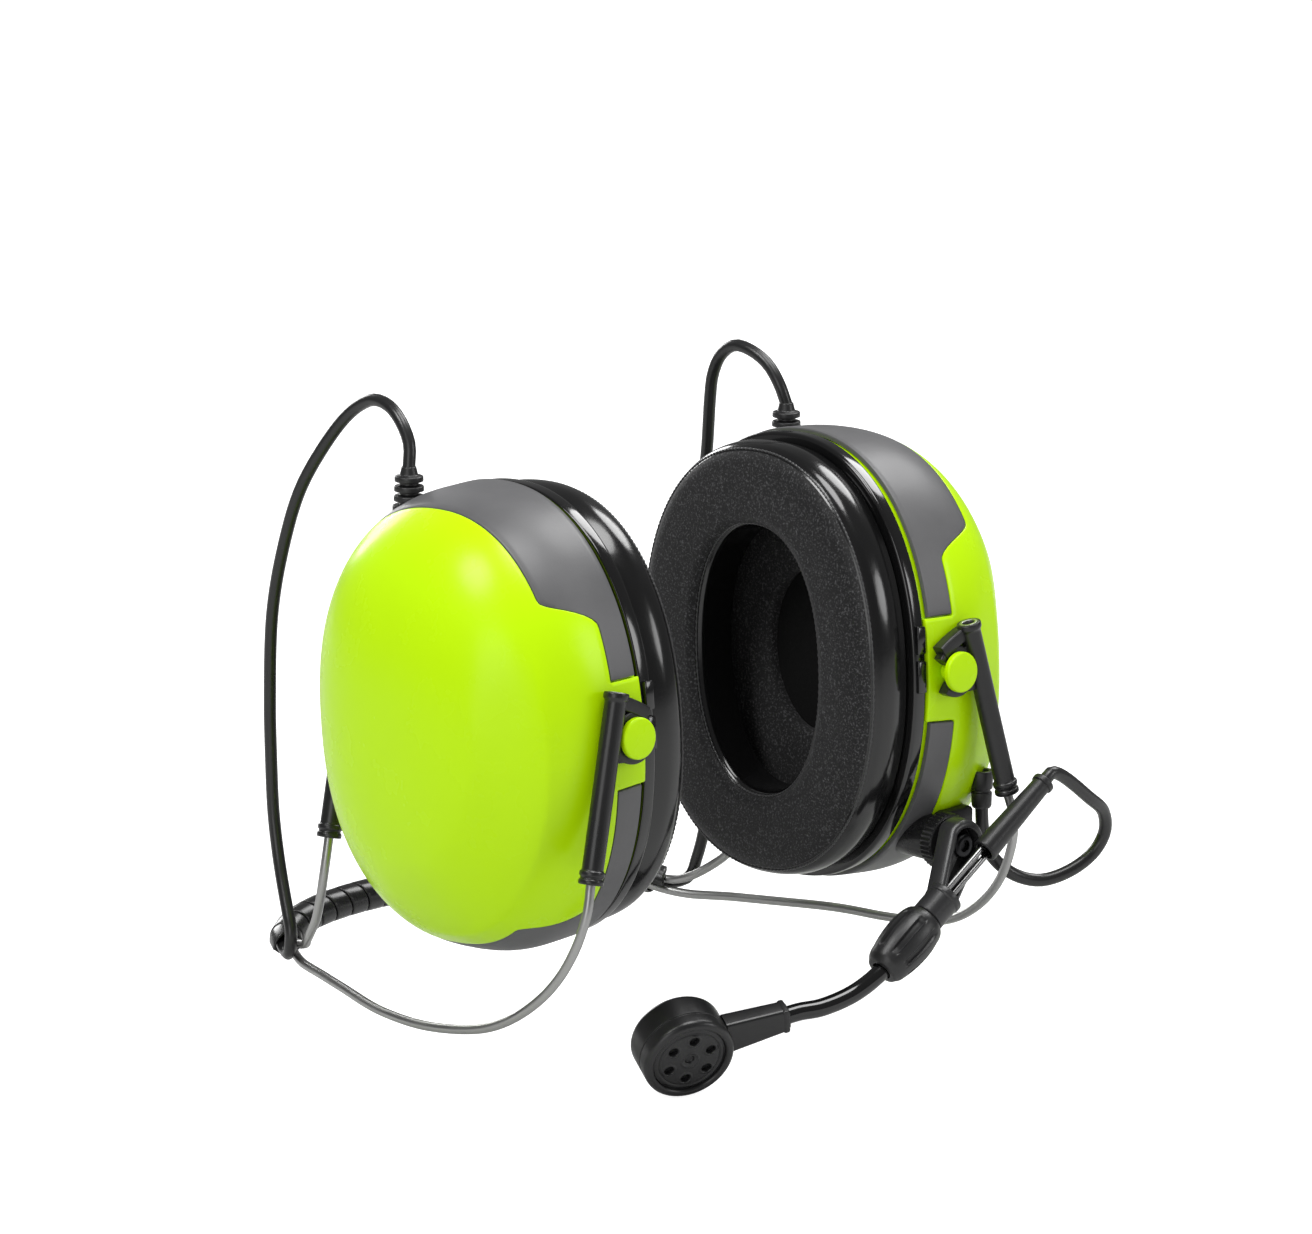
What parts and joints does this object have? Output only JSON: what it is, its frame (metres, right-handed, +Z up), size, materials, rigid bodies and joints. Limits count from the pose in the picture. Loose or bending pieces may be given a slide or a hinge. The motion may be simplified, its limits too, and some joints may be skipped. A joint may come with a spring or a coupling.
{
  "type": "hearing protection headset",
  "caption": "Neckband ear-defender headset with sprung wire band, tilting cups on sliding guide tubes, and a swinging boom microphone.",
  "frame": {"origin": "middle of the wearer's head, halfway between the two cups' rim planes", "axes": "+Z up, the wearer faces -Y, the wearer's left cup, which carries the microphone, is at +X"},
  "size_m": [0.1918, 0.149, 0.1648],
  "materials": {
    "safety_green": "semi-gloss",
    "cover_grey": "satin",
    "inner_grey": "matte",
    "black_gloss": "gloss",
    "black_satin": "satin",
    "cushion_black": "artificial leather over foam",
    "foam_black": "open foam",
    "rubber_black": "satin",
    "spring_steel": "drawn wire",
    "dark_screw": "black oxide",
    "board_green": "solder mask"
  },
  "bodies": {
    "neckband": {"front_neck_wire": "spring_steel", "rear_neck_wire": "spring_steel", "neck_wrap": "black_satin", "link_cable_middle": "rubber_black", "left_link_cable": "rubber_black", "right_link_cable": "rubber_black"},
    "left_slider": {"left_front_guide_tube": "black_satin", "left_rear_guide_tube": "black_satin"},
    "right_slider": {"right_front_guide_tube": "black_satin", "right_rear_guide_tube": "black_satin"},
    "left_cup": {"left_outer_shell": "safety_green", "left_top_cover": "cover_grey", "left_bottom_cover": "cover_grey", "left_cup_plate": "black_gloss", "left_ear_cushion": "cushion_black", "left_foam_liner": "foam_black", "left_speaker": "black_satin", "left_speaker_frame": "inner_grey", "left_cable_relief": "rubber_black", "left_front_pivot_cap": "safety_green", "left_rear_pivot_cap": "safety_green", "left_circuit_board": "board_green", "boom_mount": "black_satin", "mic_cable_gland": "rubber_black", "mic_cable": "rubber_black"},
    "right_cup": {"right_outer_shell": "safety_green", "right_top_cover": "cover_grey", "right_bottom_cover": "cover_grey", "right_cup_plate": "black_gloss", "right_ear_cushion": "cushion_black", "right_foam_liner": "foam_black", "right_speaker": "black_satin", "right_speaker_frame": "inner_grey", "right_cable_relief": "rubber_black", "right_front_pivot_cap": "safety_green", "right_rear_pivot_cap": "safety_green"},
    "boom_carrier": {"boom_disc": "black_satin", "boom_screw": "dark_screw", "boom_holder": "black_satin"},
    "microphone": {"boom_rod_upper": "spring_steel", "boom_rod_lower": "spring_steel", "boom_sleeve": "rubber_black", "boom_gooseneck": "black_gloss", "microphone_neck": "black_satin", "microphone_housing": "black_gloss", "microphone_face": "black_satin", "microphone_element": "spring_steel"},
    "boom_grip": {"boom_grip": "rubber_black"}
  },
  "joints": [
    {"name": "left_height_slide", "type": "slide", "parent": "neckband", "child": "left_slider", "axis": [-0.2403, 0.0673, 0.9684], "range_m": [0, 0.02], "deforming": ["left_link_cable"]},
    {"name": "right_height_slide", "type": "slide", "parent": "neckband", "child": "right_slider", "axis": [0.2403, 0.0673, 0.9684], "range_m": [0, 0.02], "deforming": ["right_link_cable"]},
    {"name": "left_cup_tilt", "type": "hinge", "parent": "left_slider", "child": "left_cup", "pos_m": [0.05238, -0.00006, -0.00095], "axis": [-0.0017, 0.9976, -0.0697], "range_deg": [-5, 12], "deforming": ["left_link_cable"]},
    {"name": "right_cup_tilt", "type": "hinge", "parent": "right_slider", "child": "right_cup", "pos_m": [-0.05238, -0.00006, -0.00095], "axis": [0.0017, 0.9976, -0.0697], "range_deg": [-12, 5], "deforming": ["right_link_cable"]},
    {"name": "boom_swing", "type": "hinge", "parent": "left_cup", "child": "boom_carrier", "pos_m": [0.0534, -0.0415, -0.041], "axis": [0, 1, 0], "range_deg": [-75, 4], "deforming": ["mic_cable"]},
    {"name": "boom_reach", "type": "slide", "parent": "boom_carrier", "child": "microphone", "axis": [-0.8192, 0, -0.5736], "range_m": [0, 0.006], "deforming": ["mic_cable"]},
    {"name": "grip_twist", "type": "hinge", "parent": "boom_carrier", "child": "boom_grip", "pos_m": [0.0377, -0.0574, -0.0524], "axis": [-0.8192, 0, -0.5736], "range_deg": [-45, 45]}
  ]
}
